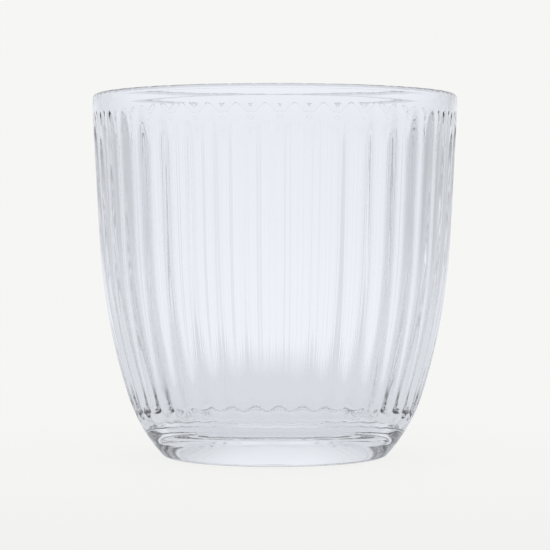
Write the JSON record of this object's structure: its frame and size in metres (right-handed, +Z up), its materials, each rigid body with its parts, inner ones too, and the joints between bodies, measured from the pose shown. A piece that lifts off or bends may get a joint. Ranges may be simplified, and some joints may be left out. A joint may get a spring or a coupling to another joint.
{
  "type": "ribbed drinking glass",
  "caption": "Clear pressed glass tumbler with a smooth round lip, upright rounded ribs round the whole wall, a wall that curves in to a thick base, and a shallow recess underneath.",
  "frame": {"origin": "centre of the resting ring, on the plane that the glass stands on", "axes": "+Z up along the glass's axis; -Y towards the picture's camera"},
  "size_m": [0.085, 0.085, 0.0844],
  "materials": {
    "clear_glass": "fire-polished clear glass, smooth inside and out"
  },
  "bodies": {
    "root": {"glass_body": "clear_glass"}
  },
  "joints": []
}
